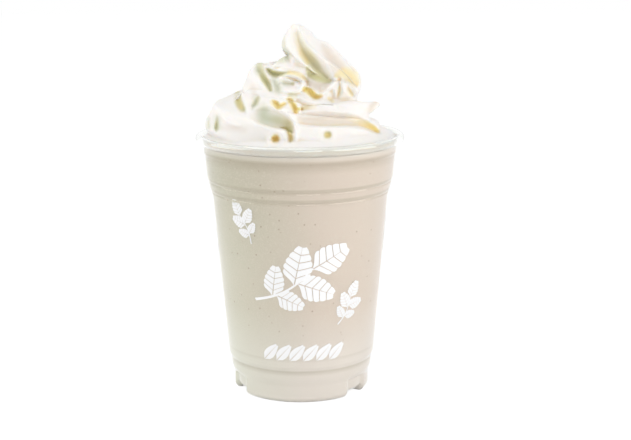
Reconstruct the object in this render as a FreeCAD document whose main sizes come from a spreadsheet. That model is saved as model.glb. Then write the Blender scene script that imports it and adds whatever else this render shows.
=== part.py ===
# Cold blended drink in a clear thermoformed cup, heaped with whipped cream from a star nozzle.
# Millimetres, +Z up. The origin is the centre of the circle that the cup stands on, and -Y is the front.
# Three solids: the cup, the drink that fills it to the neck, and the whipped cream on top.
import FreeCAD, Part
import math
import os

import Sketcher

# The outside of the cup's wall, from the middle of its bottom to its neck: corner, radius, height, and how
# many sheet thicknesses the inside lies from it, outward and up.
wallCorners = [
    ("push", 23.0, 3.6, 0.4, 1.0),
    ("footInner", 26.5, 0.0, 0.4, 1.0),
    ("footGround", 30.6, 0.0, -0.4, 1.0),
    ("footEdge", 32.2, 1.8, -1.0, 0.4),
    ("footTop", 32.2, 8.2, -1.0, 0.0),
    ("skirt", 33.4, 11.4, -1.0, 0.0),
    ("ledge", 33.9, 15.9, -1.0, 0.0),
    ("bodyBottom", 34.8, 17.9, -1.0, 0.0),
    ("bodyTop", 41.3, 93.2, -1.0, 0.0),
    ("lowCreaseUnder", 41.9, 95.0, -1.0, 0.0),
    ("lowCrease", 41.7, 95.6, -1.0, 0.0),
    ("beadFoot", 42.3, 96.3, -1.0, 0.0),
    ("beadHead", 43.1, 99.9, -1.0, 0.0),
    ("highCrease", 42.9, 100.5, -1.0, 0.0),
    ("highCreaseOver", 43.5, 101.2, -1.0, 0.0),
    ("shoulder", 43.8, 102.6, -1.0, 0.0),
    ("upper", 44.7, 112.9, -1.0, 0.0),
    ("neckFoot", 45.3, 113.9, -1.0, 0.0),
]

# The other driving dimensions: name, millimetres, degrees or a count, what it is.
otherSizes = [
    ("gauge", 0.5, "thickness of the cup's plastic sheet"),
    ("lipRadius", 49.0, "outside radius of the curled lip"),
    ("lipTube", 2.1, "outside radius of the curl's own section"),
    ("lipHeight", 120.0, "height of the middle of the curl"),
    ("lipEnd", 240.0, "angle in the curl's section at which its edge stops short of the neck"),
    ("notchCount", 3, "number of stacking notches in the foot"),
    ("notchAngle", 23.0, "angle that a notch spans"),
    ("notchTurn", 53.5, "angle of the first notch from the front"),
    ("notchDepth", 1.2, "how far a notch is set into the side of the foot"),
    ("notchRise", 2.2, "height of the underside of a notch"),
    ("drinkLevel", 117.0, "height of the surface of the drink"),
    ("bedEdgeHeight", 120.4, "height at which the bed of cream meets the wall"),
    ("bedHeight", 128.0, "height of the middle of the bed of cream"),
    ("bedFullness", 5.0, "how squarely the bed turns down to the wall, 2 being a plain dome"),
    ("rayHeight", 106.0, "height of the point that the rays start from"),
    ("brimHeight", 123.0, "height over which the cream may hang past the neck"),
    ("flutes", 7, "ridges that the star nozzle leaves along the rope"),
    ("fluteTwist", 260.0, "turn of the flutes about the rope from its start to its end"),
    ("spanSteps", 10, "stations worked out between two given ones"),
    ("softening", 2, "times that the cream's surface is evened out"),
    ("meridians", 108, "columns of facets round the cream"),
    ("parallels", 42, "rows of facets up the cream"),
]

# The piped rope from its start on the bed to the peak where the nozzle lets go. Turn runs clockwise from the
# front as seen from above, reach is from the axis to the middle of the rope, and radius is the rope's own.
ropeStations = [
    # turn, reach, height, radius, flute depth as a share of the radius
    (-120, 27.0, 119.0, 11.0, 0.04),
    (-60, 28.0, 121.0, 12.5, 0.04),
    (0, 27.5, 122.5, 13.2, 0.05),
    (50, 30.0, 125.5, 13.0, 0.06),
    (95, 32.0, 128.0, 12.6, 0.08),
    (180, 27.0, 132.0, 12.5, 0.14),
    (265, 21.5, 135.0, 12.5, 0.16),
    (310, 16.5, 135.5, 12.0, 0.12),
    (360, 13.0, 138.0, 12.0, 0.10),
    (450, 15.2, 143.5, 11.8, 0.12),
    (540, 12.0, 144.5, 11.0, 0.14),
    (615, 17.5, 146.0, 12.0, 0.18),
    (660, 12.0, 151.0, 12.0, 0.20),
    (695, 7.0, 156.5, 10.8, 0.20),
    (725, 3.0, 161.5, 9.0, 0.20),
    (760, 2.0, 166.0, 6.4, 0.18),
    (810, 2.0, 170.6, 2.2, 0.10),
]

# Halvings that find where a ray leaves the bed to a thousandth of a millimetre.
halvings = 17

doc = FreeCAD.newDocument("creamTopDrink")


def fillSheet():
    """Puts every driving dimension in the spreadsheet, with its name as alias."""
    sheet = doc.addObject("Spreadsheet::Sheet", "Sizes")
    rows = list(otherSizes)
    for name, radius, height, outward, up in wallCorners:
        rows.append((name + "Radius", radius, "radius at corner " + name))
        rows.append((name + "Height", height, "height of corner " + name))
    for number, (alias, value, note) in enumerate(rows, start=1):
        sheet.set(f"A{number}", note)
        sheet.set(f"B{number}", str(value))
        sheet.setAlias(f"B{number}", alias)
    doc.recompute()
    return sheet


sizes = fillSheet()


def size(alias):
    """The value of a cell, as a plain number."""
    return float(sizes.get(alias))


def originPart(body, role):
    """The plane or axis of a body's own origin that has this role."""
    return [part for part in body.Origin.OriginFeatures if part.Role == role][0]


def newSketch(body, name, turn=None):
    """A sketch on the upright plane through the axis, turned about the axis by an expression."""
    sketch = body.newObject("Sketcher::SketchObject", name)
    sketch.AttachmentSupport = (originPart(body, "XZ_Plane"), [""])
    sketch.MapMode = "FlatFace"
    if turn:
        sketch.AttachmentOffset = FreeCAD.Placement(
            FreeCAD.Vector(), FreeCAD.Rotation(FreeCAD.Vector(0, 1, 0), 1.0)
        )
        sketch.setExpression("AttachmentOffset.Rotation.Angle", turn)
    return sketch


def bind(sketch, kind, places, expression):
    """A dimension of a sketch whose value is an expression in the sheet's aliases."""
    value = sketch.evalExpression(expression)
    number = sketch.addConstraint(Sketcher.Constraint(kind, *places, float(value)))
    name = f"{kind}{number}"
    sketch.renameConstraint(number, name)
    sketch.setExpression(f"Constraints.{name}", expression)


def addPolygon(sketch, corners):
    """A closed polygon. Each corner is a pair of expressions, its radius and its height."""
    points = [
        FreeCAD.Vector(*[float(sketch.evalExpression(text)) for text in corner], 0)
        for corner in corners
    ]
    count = len(points)
    for number in range(count):
        line = Part.LineSegment(points[number], points[(number + 1) % count])
        sketch.addGeometry(line, False)
    for number in range(count):
        following = (number + 1) % count
        sketch.addConstraint(Sketcher.Constraint("Coincident", number, 2, following, 1))
    for number, (radius, height) in enumerate(corners):
        bind(sketch, "DistanceX", (-1, 1, number, 1), radius)
        bind(sketch, "DistanceY", (-1, 1, number, 1), height)


def revolve(body, sketch, kind, name, angle="360"):
    """Turns a sketch about the cup's axis, to add material or, as a groove, to take it away."""
    feature = body.newObject("PartDesign::" + kind, name)
    feature.Profile = sketch
    feature.ReferenceAxis = (sketch, ["V_Axis"])
    feature.Midplane = True
    feature.setExpression("Angle", angle)
    doc.recompute()
    return feature


def wallProfile(inside):
    """The corners of the wall's outside, or of its inside, closed along the axis at the height of the lip."""
    corners = []
    for name, radius, height, outward, up in wallCorners:
        shift = (f" + {outward} * Sizes.gauge", f" + {up} * Sizes.gauge") if inside else ("", "")
        corners.append((f"Sizes.{name}Radius{shift[0]}", f"Sizes.{name}Height{shift[1]}"))
    neck = "Sizes.lipRadius - 2 * Sizes.lipTube" + ("" if inside else " + Sizes.gauge")
    corners.append((neck, "Sizes.lipHeight"))
    corners.append(("0", "Sizes.lipHeight"))
    corners.append(("0", corners[0][1]))
    return corners


def cutNotches(body, inset):
    """The stacking notches: the foot's side is set in and its underside raised, three times round."""
    side = f"Sizes.footTopRadius - Sizes.notchDepth - {inset} * Sizes.gauge"
    under = f"Sizes.notchRise + {inset} * Sizes.gauge"
    outer = "Sizes.skirtRadius + Sizes.notchDepth"
    sketch = newSketch(body, "notchSection", turn="Sizes.notchTurn - 90")
    addPolygon(
        sketch,
        [
            ("Sizes.pushRadius - Sizes.notchDepth", under),
            (side, under),
            (side, "Sizes.footTopHeight - Sizes.notchDepth"),
            (outer, f"Sizes.skirtHeight + {inset} * Sizes.gauge"),
            (outer, "-Sizes.notchRise"),
            ("Sizes.pushRadius - Sizes.notchDepth", "-Sizes.notchRise"),
        ],
    )
    spread = f"Sizes.notchAngle + {2 * inset} * Sizes.gauge / Sizes.footTopRadius * 180 / pi"
    groove = revolve(body, sketch, "Groove", "notch", angle=spread)
    pattern = body.newObject("PartDesign::PolarPattern", "notches")
    pattern.Originals = [groove]
    pattern.Axis = (originPart(body, "Z_Axis"), [""])
    pattern.Angle = 360
    pattern.setExpression("Occurrences", "Sizes.notchCount")
    body.Tip = pattern
    doc.recompute()


def addLip(body):
    """The curl of the lip: the sheet goes up from the neck, over, outward and down round a ring of air."""
    sketch = newSketch(body, "lipSection")
    middle = FreeCAD.Vector(size("lipRadius") - size("lipTube"), size("lipHeight"), 0)
    begin, end = math.radians(size("lipEnd")), math.radians(540)
    upright = FreeCAD.Vector(0, 0, 1)
    radii = [size("lipTube"), size("lipTube") - size("gauge")]
    ends = []
    for radius in radii:
        arc = Part.ArcOfCircle(Part.Circle(middle, upright, radius), begin, end)
        sketch.addGeometry(arc, False)
        ends.append((arc.StartPoint, arc.EndPoint))
    sketch.addGeometry(Part.LineSegment(ends[0][0], ends[1][0]), False)
    sketch.addGeometry(Part.LineSegment(ends[0][1], ends[1][1]), False)
    for line, arcEnd in ((2, 1), (3, 2)):
        sketch.addConstraint(Sketcher.Constraint("Coincident", 0, arcEnd, line, 1))
        sketch.addConstraint(Sketcher.Constraint("Coincident", 1, arcEnd, line, 2))
    sketch.addConstraint(Sketcher.Constraint("Coincident", 0, 3, 1, 3))
    bind(sketch, "DistanceX", (-1, 1, 0, 3), "Sizes.lipRadius - Sizes.lipTube")
    bind(sketch, "DistanceY", (-1, 1, 0, 3), "Sizes.lipHeight")
    bind(sketch, "Radius", (0,), "Sizes.lipTube")
    bind(sketch, "Radius", (1,), "Sizes.lipTube - Sizes.gauge")
    bind(sketch, "DistanceY", (-1, 1, 0, 2), "Sizes.lipHeight")
    bind(sketch, "DistanceY", (-1, 1, 1, 2), "Sizes.lipHeight")
    bind(sketch, "DistanceX", (0, 3, 0, 1), "Sizes.lipTube * cos(Sizes.lipEnd)")
    bind(sketch, "DistanceX", (1, 3, 1, 1), "(Sizes.lipTube - Sizes.gauge) * cos(Sizes.lipEnd)")
    revolve(body, sketch, "Revolution", "lip")


def makeCup():
    """The cup is its filled outside less the cavity, which the drink then fills."""
    outside = doc.addObject("PartDesign::Body", "outside")
    section = newSketch(outside, "outsideSection")
    addPolygon(section, wallProfile(inside=False))
    revolve(outside, section, "Revolution", "outsideTurned")
    cutNotches(outside, inset=0)
    addLip(outside)

    cavity = doc.addObject("PartDesign::Body", "cavity")
    section = newSketch(cavity, "cavitySection")
    addPolygon(section, wallProfile(inside=True))
    revolve(cavity, section, "Revolution", "cavityTurned")
    cutNotches(cavity, inset=1)

    cup = doc.addObject("Part::Cut", "cup")
    cup.Base, cup.Tool = outside, cavity
    return cup, cavity


def makeDrink(cavity):
    """The drink fills the cavity up to its level."""
    reach = doc.addObject("Part::Cylinder", "drinkReach")
    reach.setExpression("Radius", "Sizes.lipRadius")
    reach.setExpression("Height", "Sizes.drinkLevel")
    drink = doc.addObject("Part::Common", "smoothie")
    drink.Base, drink.Tool = cavity, reach
    return drink


def spline(values, place):
    """The value at a place along evenly spaced values, on a smooth curve through them all."""
    last = len(values) - 1
    index = min(int(place), last - 1)
    part = place - index
    before, start = values[max(index - 1, 0)], values[index]
    stop, after = values[index + 1], values[min(index + 2, last)]
    return 0.5 * (
        2 * start
        + (stop - before) * part
        + (2 * before - 5 * start + 4 * stop - after) * part**2
        + (3 * start - before - 3 * stop + after) * part**3
    )


def ropeBeads():
    """The rope as close beads: middle, radius, flute depth and the two directions across the rope."""
    columns = list(zip(*ropeStations))
    steps = int(size("spanSteps"))
    count = (len(ropeStations) - 1) * steps
    middles, radii, depths = [], [], []
    for number in range(count + 1):
        turn, reach, height, radius, depth = [spline(column, number / steps) for column in columns]
        around = math.radians(turn)
        middles.append(FreeCAD.Vector(-reach * math.sin(around), -reach * math.cos(around), height))
        radii.append(radius)
        depths.append(depth)
    beads = []
    side = FreeCAD.Vector(0, 0, 1)
    for number, middle in enumerate(middles):
        along = middles[min(number + 1, count)] - middles[max(number - 1, 0)]
        along.normalize()
        side = side - along * side.dot(along)
        side.normalize()
        twist = math.radians(size("fluteTwist")) * number / count
        across = along.cross(side)
        first = side * math.cos(twist) + across * math.sin(twist)
        beads.append((middle, radii[number], depths[number], first, along.cross(first)))
    return beads


def flutedRadius(bead, point):
    """The rope's radius towards a point: sharp ridges with round flutes between them."""
    middle, radius, depth, first, second = bead
    away = point - middle
    angle = math.atan2(away.dot(second), away.dot(first))
    return radius * (1 - depth * abs(math.sin(size("flutes") * angle / 2)))


def reachOfBead(start, ray, bead, radius):
    """How far along a ray its last point in a ball of this radius is, or 0 where it misses the ball."""
    toMiddle = bead[0] - start
    nearest = toMiddle.dot(ray)
    inside = radius**2 - (toMiddle.dot(toMiddle) - nearest**2)
    return nearest + math.sqrt(inside) if inside > 0 else 0.0


def reachOfBed(ray, neck):
    """How far along a ray it leaves the bed of cream, a full low dome that meets the wall at its edge."""
    rise = size("bedHeight") - size("bedEdgeHeight")
    inner, outer = 0.0, 2 * neck
    for halving in range(halvings):
        middle = (inner + outer) / 2
        share = middle * math.hypot(ray.x, ray.y) / neck
        surface = size("bedHeight") - rise * share ** size("bedFullness")
        if size("rayHeight") + middle * ray.z < surface:
            inner = middle
        else:
            outer = middle
    return inner


def reachOfCream(start, ray, beads, neck):
    """How far along a ray the outermost point of the cream is, on the rope or else on the bed."""
    reach = reachOfBed(ray, neck)
    for bead in beads:
        touch = reachOfBead(start, ray, bead, bead[1])
        if touch > reach:
            radius = flutedRadius(bead, start + ray * touch)
            reach = max(reach, reachOfBead(start, ray, bead, radius))
    return reach


def evenedOut(reaches):
    """Each reach drawn half way to the mean of its four neighbours, for a soft surface with no sharp steps."""
    last = len(reaches) - 1
    evened = []
    for row, ring in enumerate(reaches):
        above, below = reaches[max(row - 1, 0)], reaches[min(row + 1, last)]
        evened.append([
            0.5 * ring[column] + 0.125 * (above[column] + below[column] + before + after)
            for column, (before, after) in enumerate(zip(ring[-1:] + ring[:-1], ring[1:] + ring[:1]))
        ])
    return evened


def creamRings(start, beads, neck):
    """The cream's surface as rings of points, from round the peak down to the wall at the bed's edge."""
    columns, rows = int(size("meridians")), int(size("parallels"))
    widest = math.atan2(neck, size("bedEdgeHeight") - size("rayHeight"))
    rays = []
    for row in range(1, rows + 1):
        lean = widest * row / rows
        ring = []
        for column in range(columns):
            around = 2 * math.pi * column / columns
            across = math.sin(lean)
            ring.append(FreeCAD.Vector(across * math.cos(around), across * math.sin(around), math.cos(lean)))
        rays.append(ring)
    reaches = [[reachOfCream(start, ray, beads, neck) for ray in ring] for ring in rays]
    for number in range(int(size("softening"))):
        reaches = evenedOut(reaches)
    edgeReach = math.hypot(neck, size("bedEdgeHeight") - size("rayHeight"))
    reaches[-1] = [edgeReach] * columns
    rings = []
    for ring, reachRing in zip(rays, reaches):
        points = []
        for ray, reach in zip(ring, reachRing):
            spread = reach * math.hypot(ray.x, ray.y)
            if spread > neck and start.z + reach * ray.z < size("brimHeight"):
                reach = reach * neck / spread
            points.append(start + ray * reach)
        rings.append(points)
    return rings


def makeCream():
    """The whipped cream: the outermost surface of the piped rope and its bed, as a closed faceted solid."""
    neck = size("lipRadius") - 2 * size("lipTube")
    start = FreeCAD.Vector(0, 0, size("rayHeight"))
    beads = ropeBeads()
    rings = creamRings(start, beads, neck)
    rings.append([FreeCAD.Vector(point.x, point.y, size("drinkLevel")) for point in rings[-1]])
    upright = FreeCAD.Vector(0, 0, 1)
    top = start + upright * reachOfCream(start, upright, beads, neck)
    bottom = upright * size("drinkLevel")

    facets = []
    columns = len(rings[0])
    for column in range(columns):
        following = (column + 1) % columns
        facets.append((top, rings[0][column], rings[0][following]))
        facets.append((bottom, rings[-1][following], rings[-1][column]))
        for upper, lower in zip(rings, rings[1:]):
            facets.append((upper[column], lower[column], lower[following]))
            facets.append((upper[column], lower[following], upper[following]))
    shell = Part.makeShell([Part.Face(Part.makePolygon([*facet, facet[0]])) for facet in facets])
    cream = doc.addObject("Part::Feature", "whipped_cream")
    cream.Shape = Part.makeSolid(shell)
    cream.Placement = FreeCAD.Placement()
    return cream


def main():
    cup, cavity = makeCup()
    drink = makeDrink(cavity)
    cream = makeCream()
    doc.recompute()
    for thing in doc.Objects:
        if {"Invalid", "Error"} & set(thing.State):
            raise RuntimeError(f"{thing.Name} is {thing.State}")
    os.makedirs("parts", exist_ok=True)
    for piece in (cup, drink, cream):
        shape = piece.Shape
        if shape.isNull() or not shape.isValid() or len(shape.Solids) != 1 or shape.Volume < 0:
            raise RuntimeError(f"{piece.Label} is not one valid solid")
        shape.exportStep(os.path.join("parts", piece.Label + ".step"))
        print(piece.Label, len(shape.Faces), "faces", round(shape.Volume / 1000, 1), "ml", shape.BoundBox)


main()
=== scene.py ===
import math

import bpy
import numpy
from mathutils import Matrix, Vector
from mathutils.kdtree import KDTree


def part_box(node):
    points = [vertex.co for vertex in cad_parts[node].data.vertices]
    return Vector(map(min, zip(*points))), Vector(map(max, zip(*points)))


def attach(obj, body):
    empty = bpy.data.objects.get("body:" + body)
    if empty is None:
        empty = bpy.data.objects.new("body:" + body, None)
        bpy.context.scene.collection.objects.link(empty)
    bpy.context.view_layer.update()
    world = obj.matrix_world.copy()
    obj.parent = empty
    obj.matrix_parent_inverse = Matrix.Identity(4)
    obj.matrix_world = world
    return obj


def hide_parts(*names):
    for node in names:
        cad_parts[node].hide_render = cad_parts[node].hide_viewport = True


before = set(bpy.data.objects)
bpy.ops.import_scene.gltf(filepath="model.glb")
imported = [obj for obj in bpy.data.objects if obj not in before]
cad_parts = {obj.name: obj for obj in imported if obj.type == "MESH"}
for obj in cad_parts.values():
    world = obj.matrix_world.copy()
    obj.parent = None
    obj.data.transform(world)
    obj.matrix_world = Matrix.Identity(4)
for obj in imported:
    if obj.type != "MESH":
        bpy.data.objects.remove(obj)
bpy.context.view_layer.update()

mm = 0.001
scene = bpy.context.scene
cupLow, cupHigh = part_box("cup")
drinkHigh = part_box("smoothie")[1]
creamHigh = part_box("whipped_cream")[1]
print("frame: cup", round(cupHigh[0] / mm, 1), "mm to the lip,", round(creamHigh[2] / mm, 1), "mm in all")


# ---- small helpers
def deselectAll():
    if bpy.context.mode != "OBJECT":
        bpy.ops.object.mode_set(mode="OBJECT")
    bpy.ops.object.select_all(action="DESELECT")


def pickOnly(*things):
    deselectAll()
    for thing in things:
        thing.select_set(True)
    bpy.context.view_layer.objects.active = things[0]


def nameIt(name):
    piece = bpy.context.object
    piece.name = name
    piece.data.name = name
    return piece


def applyModifier(piece, kind, **settings):
    pickOnly(piece)
    modifier = piece.modifiers.new(kind.title(), kind)
    for setting, value in settings.items():
        setattr(modifier, setting, value)
    bpy.ops.object.modifier_apply(modifier=modifier.name)


def settle(piece):
    # its place, turn and size are put into the mesh
    pickOnly(piece)
    bpy.ops.object.transform_apply(location=True, rotation=True, scale=True)


def joinAll(name, pieces):
    for piece in pieces:
        settle(piece)
    pickOnly(*pieces)
    bpy.ops.object.join()
    return nameIt(name)


def smoothShade(piece, angle):
    pickOnly(piece)
    bpy.ops.object.shade_smooth_by_angle(angle=math.radians(angle))


# ---- materials
def srgb(code):
    channels = [int(code[place:place + 2], 16) / 255 for place in (1, 3, 5)]
    linear = [c / 12.92 if c <= 0.04045 else ((c + 0.055) / 1.055) ** 2.4 for c in channels]
    return (*linear, 1.0)


def newMaterial(name):
    material = bpy.data.materials.new(name)
    material.use_nodes = True
    material.node_tree.nodes.clear()
    return material


def addNode(material, kind, inputs=None, **settings):
    node = material.node_tree.nodes.new("ShaderNode" + kind)
    for setting, value in settings.items():
        setattr(node, setting, value)
    for socket, value in (inputs or {}).items():
        if isinstance(value, bpy.types.NodeSocket):
            material.node_tree.links.new(value, node.inputs[socket])
        else:
            node.inputs[socket].default_value = value
    return node


def thermoformedPet():
    # clear sheet drawn into a mould: too thin to bend what is behind it, so the bend is nearly none and
    # the coat carries the sheet's gloss, which whitens its edges; a faint draw haze runs up the wall
    pet = {
        "colour": "#FBFCFA", "bend": 1.04, "gloss": 1.575, "roughness": 0.04,
        "haze": 9 * mm, "draw": 0.18, "wave": 0.05 * mm, "waviness": 0.35,
    }
    material = newMaterial("thermoformed PET")
    place = addNode(material, "TexCoord").outputs["Object"]
    drawn = addNode(material, "Mapping", {"Vector": place, "Scale": (1.0, 1.0, pet["draw"])})
    waves = addNode(material, "TexNoise", {
        "Vector": drawn.outputs["Vector"], "Scale": 1 / pet["haze"], "Detail": 2.0,
    })
    bump = addNode(material, "Bump", {
        "Height": waves.outputs["Fac"], "Strength": pet["waviness"], "Distance": pet["wave"],
    })
    surface = addNode(material, "BsdfPrincipled", {
        "Base Color": srgb(pet["colour"]), "Roughness": pet["roughness"], "IOR": pet["bend"],
        "Transmission Weight": 1.0, "Coat Weight": 1.0, "Coat IOR": pet["gloss"],
        "Coat Roughness": pet["roughness"],
        "Normal": bump.outputs["Normal"], "Coat Normal": bump.outputs["Normal"],
    })
    addNode(material, "OutputMaterial", {"Surface": surface.outputs["BSDF"]})
    return material


def blendedDrink():
    # mint, cream and syrup from a blender: opaque and pale, a little greener on one side where the mint
    # settled, with painted shade darker higher up on that side and painted light paler towards the foot,
    # with fine pale flecks of crushed ice and a few brown drops of syrup
    drink = {
        "minty": "#DAD6C1", "creamy": "#E4D4C5", "creamyFrom": -20 * mm, "creamyTo": 20 * mm,
        "driftSize": 60 * mm, "drift": 30 * mm,  # how far the border between the two sides strays
        # painted shade: the greener side is darker higher up the wall
        "paintedTopShade": "#C2BDA4", "paintedTopShadeFrom": 60 * mm, "paintedTopShadeTo": 105 * mm, "paintedTopShadeShare": 0.7,
        "fleck": "#E8DECF", "fleckSize": 0.8 * mm, "fleckFrom": 0.5, "fleckTo": 0.75, "fleckShare": 0.6,
        "syrup": "#A88C68", "syrupSize": 4.5 * mm, "syrupCore": 0.05, "syrupEdge": 0.11, "syrupShare": 0.7,
        # painted light: the drink is paler towards the foot
        "paintedFootLight": "#F2E9E0", "paintedFootLightMinty": "#EDECDD",
        "paintedFootLightFrom": 46 * mm, "paintedFootLightTo": 20 * mm, "paintedFootLightShare": 0.9,
        "roughness": 0.55, "bend": 1.36,
        # dark lines of painted shade under the lip and the wall's steps, and a pale one of painted light
        # heights in millimetres, fades below and above, strength and colour
        "paintedLines": [
            (117.2, 2.6, 1.0, 0.7, "#F6EFE4"), (114.0, 5.0, 1.4, 0.42, "#A8987A"),
            (101.9, 2.8, 0.8, 0.4, "#B0A488"), (97.0, 2.8, 0.8, 0.4, "#B0A488"),
            (15.6, 2.2, 0.8, 0.4, "#B0A488"), (21.6, 1.6, 0.8, 0.15, "#B0A488"),
        ],
    }
    material = newMaterial("blended cream drink")
    place = addNode(material, "TexCoord").outputs["Object"]
    axes = addNode(material, "SeparateXYZ", {"Vector": place})
    drift = addNode(material, "TexNoise", {"Vector": place, "Scale": 1 / drink["driftSize"], "Detail": 2.0})
    swayed = addNode(material, "Math", {
        0: drift.outputs["Fac"], 1: drink["drift"], 2: axes.outputs["X"],
    }, operation="MULTIPLY_ADD")
    settled = addNode(material, "MapRange", {
        "Value": swayed.outputs["Value"], "From Min": drink["creamyFrom"], "From Max": drink["creamyTo"],
    })
    # painted shade: the greener side darkens higher up the wall
    high = addNode(material, "MapRange", {
        "Value": axes.outputs["Z"], "From Min": drink["paintedTopShadeFrom"], "From Max": drink["paintedTopShadeTo"],
        "To Max": drink["paintedTopShadeShare"],
    })
    mint = addNode(material, "Mix", {
        0: high.outputs["Result"], 6: srgb(drink["minty"]), 7: srgb(drink["paintedTopShade"]),
    }, data_type="RGBA")
    body = addNode(material, "Mix", {
        0: settled.outputs["Result"], 6: mint.outputs[2], 7: srgb(drink["creamy"]),
    }, data_type="RGBA")
    flecks = addNode(material, "TexNoise", {
        "Vector": place, "Scale": 1 / drink["fleckSize"], "Detail": 3.0,
    })
    pale = addNode(material, "MapRange", {
        "Value": flecks.outputs["Fac"], "From Min": drink["fleckFrom"], "From Max": drink["fleckTo"],
        "To Max": drink["fleckShare"],
    })
    icy = addNode(material, "Mix", {
        0: pale.outputs["Result"], 6: body.outputs[2], 7: srgb(drink["fleck"]),
    }, data_type="RGBA")
    drops = addNode(material, "TexVoronoi", {"Vector": place, "Scale": 1 / drink["syrupSize"]})
    dark = addNode(material, "MapRange", {
        "Value": drops.outputs["Distance"], "From Min": drink["syrupCore"], "From Max": drink["syrupEdge"],
        "To Min": drink["syrupShare"], "To Max": 0.0,
    })
    colour = addNode(material, "Mix", {
        0: dark.outputs["Result"], 6: icy.outputs[2], 7: srgb(drink["syrup"]),
    }, data_type="RGBA")
    # painted light: the drink pales towards the foot
    paintedFootLight = addNode(material, "MapRange", {
        "Value": axes.outputs["Z"], "From Min": drink["paintedFootLightFrom"], "From Max": drink["paintedFootLightTo"],
        "To Max": drink["paintedFootLightShare"],
    })
    footLightColour = addNode(material, "Mix", {
        0: settled.outputs["Result"], 6: srgb(drink["paintedFootLightMinty"]), 7: srgb(drink["paintedFootLight"]),
    }, data_type="RGBA")
    colour = addNode(material, "Mix", {
        0: paintedFootLight.outputs["Result"], 6: colour.outputs[2], 7: footLightColour.outputs[2],
    }, data_type="RGBA")
    # painted shade: dark lines under the lip and the wall's steps; painted light: a pale line at the
    # drink's top
    for peak, below, above, strength, code in drink["paintedLines"]:
        rising = addNode(material, "MapRange", {
            "Value": axes.outputs["Z"], "From Min": (peak - below) * mm, "From Max": peak * mm,
        })
        falling = addNode(material, "MapRange", {
            "Value": axes.outputs["Z"], "From Min": peak * mm, "From Max": (peak + above) * mm,
            "To Min": strength, "To Max": 0.0,
        })
        line = addNode(material, "Math", {
            0: rising.outputs["Result"], 1: falling.outputs["Result"],
        }, operation="MULTIPLY")
        colour = addNode(material, "Mix", {
            0: line.outputs["Value"], 6: colour.outputs[2], 7: srgb(code),
        }, data_type="RGBA")
    surface = addNode(material, "BsdfPrincipled", {
        "Base Color": colour.outputs[2], "Roughness": drink["roughness"], "IOR": drink["bend"],
    })
    addNode(material, "OutputMaterial", {"Surface": surface.outputs["BSDF"]})
    return material


def whippedCream():
    # cold aerated cream: soft, satin and a little see-through, so that light turns warm in it; painted
    # shade lies in its deep folds, olive on one side and amber on the other, and in blush, mint, olive and
    # amber on its hollows and undersides; and it has bubbles too fine to see but for a slight tooth
    whipped = {
        "colour": "#F6F2EE",
        # painted shade: the folds' colours, olive to the left and amber to the right
        "foldShadeLeft": "#DCD8B4", "foldShadeRight": "#EFDBA4", "leftEdge": -20 * mm, "rightEdge": 4 * mm,
        # painted shade in four tints, laid on hollows and undersides
        "paintedShades": {"blush": "#E3D9CD", "mint": "#D4D7C2", "olive": "#D0CC9F", "amber": "#EFDC94"},
        "mixed": "#EDE3D6", "mixedBelow": 119.2 * mm, "mixedFade": 1 * mm,
        "bubbleSize": 0.5 * mm, "bubbleHeight": 0.03 * mm, "tooth": 0.4, "roughness": 0.45, "bend": 1.36,
        "seeThrough": 0.75, "depth": 4 * mm, "depthByColour": (1.0, 0.85, 0.7),
    }
    material = newMaterial("whipped dairy cream")
    place = addNode(material, "TexCoord").outputs["Object"]
    axes = addNode(material, "SeparateXYZ", {"Vector": place})
    turned = addNode(material, "MapRange", {
        "Value": axes.outputs["X"], "From Min": whipped["leftEdge"], "From Max": whipped["rightEdge"],
    })
    foldShadeColour = addNode(material, "Mix", {
        0: turned.outputs["Result"], 6: srgb(whipped["foldShadeLeft"]), 7: srgb(whipped["foldShadeRight"]),
    }, data_type="RGBA")
    # painted shade in the folds, olive to the left and amber to the right, by how deep they lie
    folds = addNode(material, "Attribute", attribute_name="foldShadeDepth")
    colour = addNode(material, "Mix", {
        0: folds.outputs["Fac"], 6: srgb(whipped["colour"]), 7: foldShadeColour.outputs[2],
    }, data_type="RGBA")
    # painted shade in four tints, laid on the hollows and undersides
    for name, code in whipped["paintedShades"].items():
        amount = addNode(material, "Attribute", attribute_name=name + "PaintedShade")
        colour = addNode(material, "Mix", {
            0: amount.outputs["Fac"], 6: colour.outputs[2], 7: srgb(code),
        }, data_type="RGBA")
    # below the brim, where it lies against the sheet, the cream has taken up the drink
    mixed = addNode(material, "MapRange", {
        "Value": axes.outputs["Z"], "To Min": 1.0, "To Max": 0.0,
        "From Min": whipped["mixedBelow"], "From Max": whipped["mixedBelow"] + whipped["mixedFade"],
    })
    colour = addNode(material, "Mix", {
        0: mixed.outputs["Result"], 6: colour.outputs[2], 7: srgb(whipped["mixed"]),
    }, data_type="RGBA")
    bubbles = addNode(material, "TexNoise", {
        "Vector": place, "Scale": 1 / whipped["bubbleSize"], "Detail": 2.0,
    })
    bump = addNode(material, "Bump", {
        "Height": bubbles.outputs["Fac"], "Strength": whipped["tooth"], "Distance": whipped["bubbleHeight"],
    })
    surface = addNode(material, "BsdfPrincipled", {
        "Base Color": colour.outputs[2], "Roughness": whipped["roughness"], "IOR": whipped["bend"],
        "Subsurface Weight": whipped["seeThrough"], "Subsurface Radius": whipped["depthByColour"],
        "Subsurface Scale": whipped["depth"], "Normal": bump.outputs["Normal"],
    })
    addNode(material, "OutputMaterial", {"Surface": surface.outputs["BSDF"]})
    return material


def printedInk():
    # white ink rolled on the outside of the cup: flat and opaque, a little less glossy than the sheet
    ink = {"colour": "#FFFFFF", "roughness": 0.35}
    material = newMaterial("white screen print ink")
    surface = addNode(material, "BsdfPrincipled", {
        "Base Color": srgb(ink["colour"]), "Roughness": ink["roughness"],
    })
    addNode(material, "OutputMaterial", {"Surface": surface.outputs["BSDF"]})
    return material


petMaterial = thermoformedPet()
drinkMaterial = blendedDrink()
creamMaterial = whippedCream()
inkMaterial = printedInk()
print("materials made")


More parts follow.
